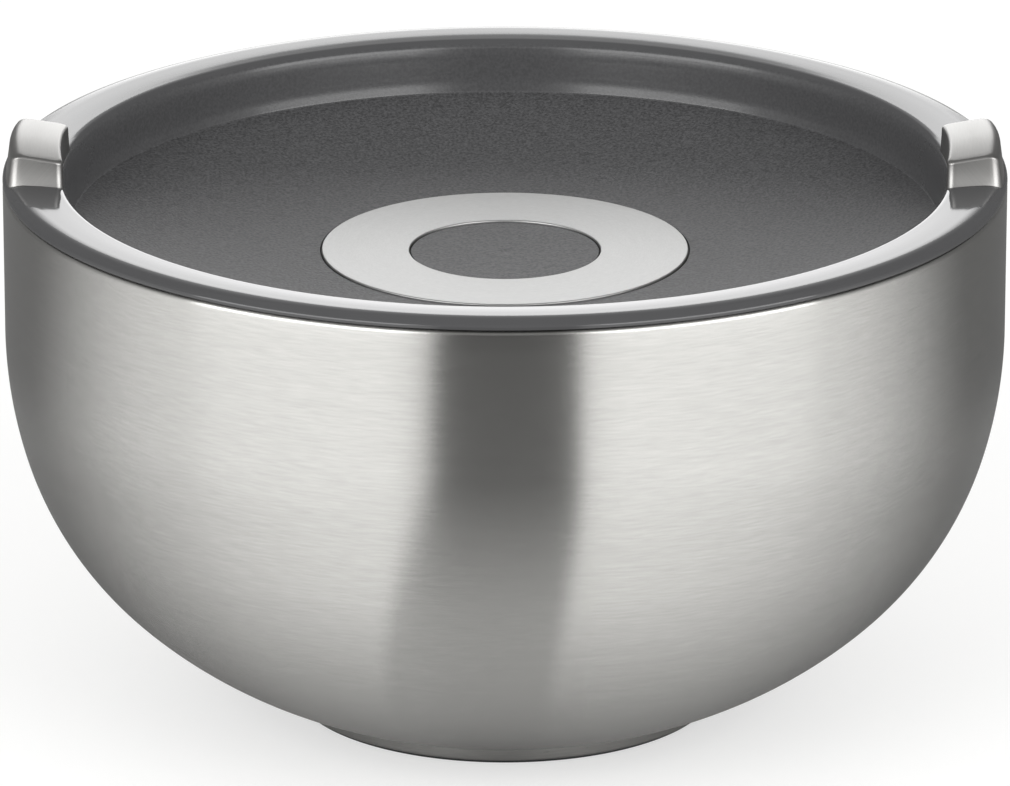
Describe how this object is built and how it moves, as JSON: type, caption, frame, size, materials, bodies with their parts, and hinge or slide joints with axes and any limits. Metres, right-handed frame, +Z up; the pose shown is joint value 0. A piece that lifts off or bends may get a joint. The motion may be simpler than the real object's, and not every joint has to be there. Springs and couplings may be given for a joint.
{
  "type": "insulated serving bowl with lid",
  "caption": "Round double-walled stainless serving bowl on a low foot, with a dark insulated plug lid that lifts off by finger grips on its rim and has a steel ring set in its dished top.",
  "frame": {"origin": "centre of the foot's underside, on the surface the bowl stands on", "axes": "+Z up along the bowl's axis, +X through the right-hand grip, +Y away from the camera of the picture"},
  "size_m": [0.24, 0.24, 0.1417],
  "materials": {
    "brushed_stainless": "satin",
    "satin_stainless": "satin",
    "inlay_stainless": "satin",
    "silicone": "matte",
    "lid_plastic": "gloss",
    "grip_plastic": "satin",
    "plug_plastic": "satin",
    "foam": "matte",
    "tape": "matte"
  },
  "bodies": {
    "bowl": {"outer_shell": "brushed_stainless", "inner_liner": "satin_stainless", "foot_ring": "satin_stainless", "foot_pad": "silicone"},
    "lid": {"lid_cover": "lid_plastic", "lid_base": "plug_plastic", "lid_insulation": "foam", "lid_seal": "silicone", "ring_inlay": "inlay_stainless", "inlay_tape": "tape", "grip_left": "grip_plastic", "grip_right": "grip_plastic"}
  },
  "joints": [
    {"name": "lid_lift", "type": "slide", "parent": "bowl", "child": "lid", "axis": [0, 0, 1], "range_m": [0, 0.12]}
  ]
}
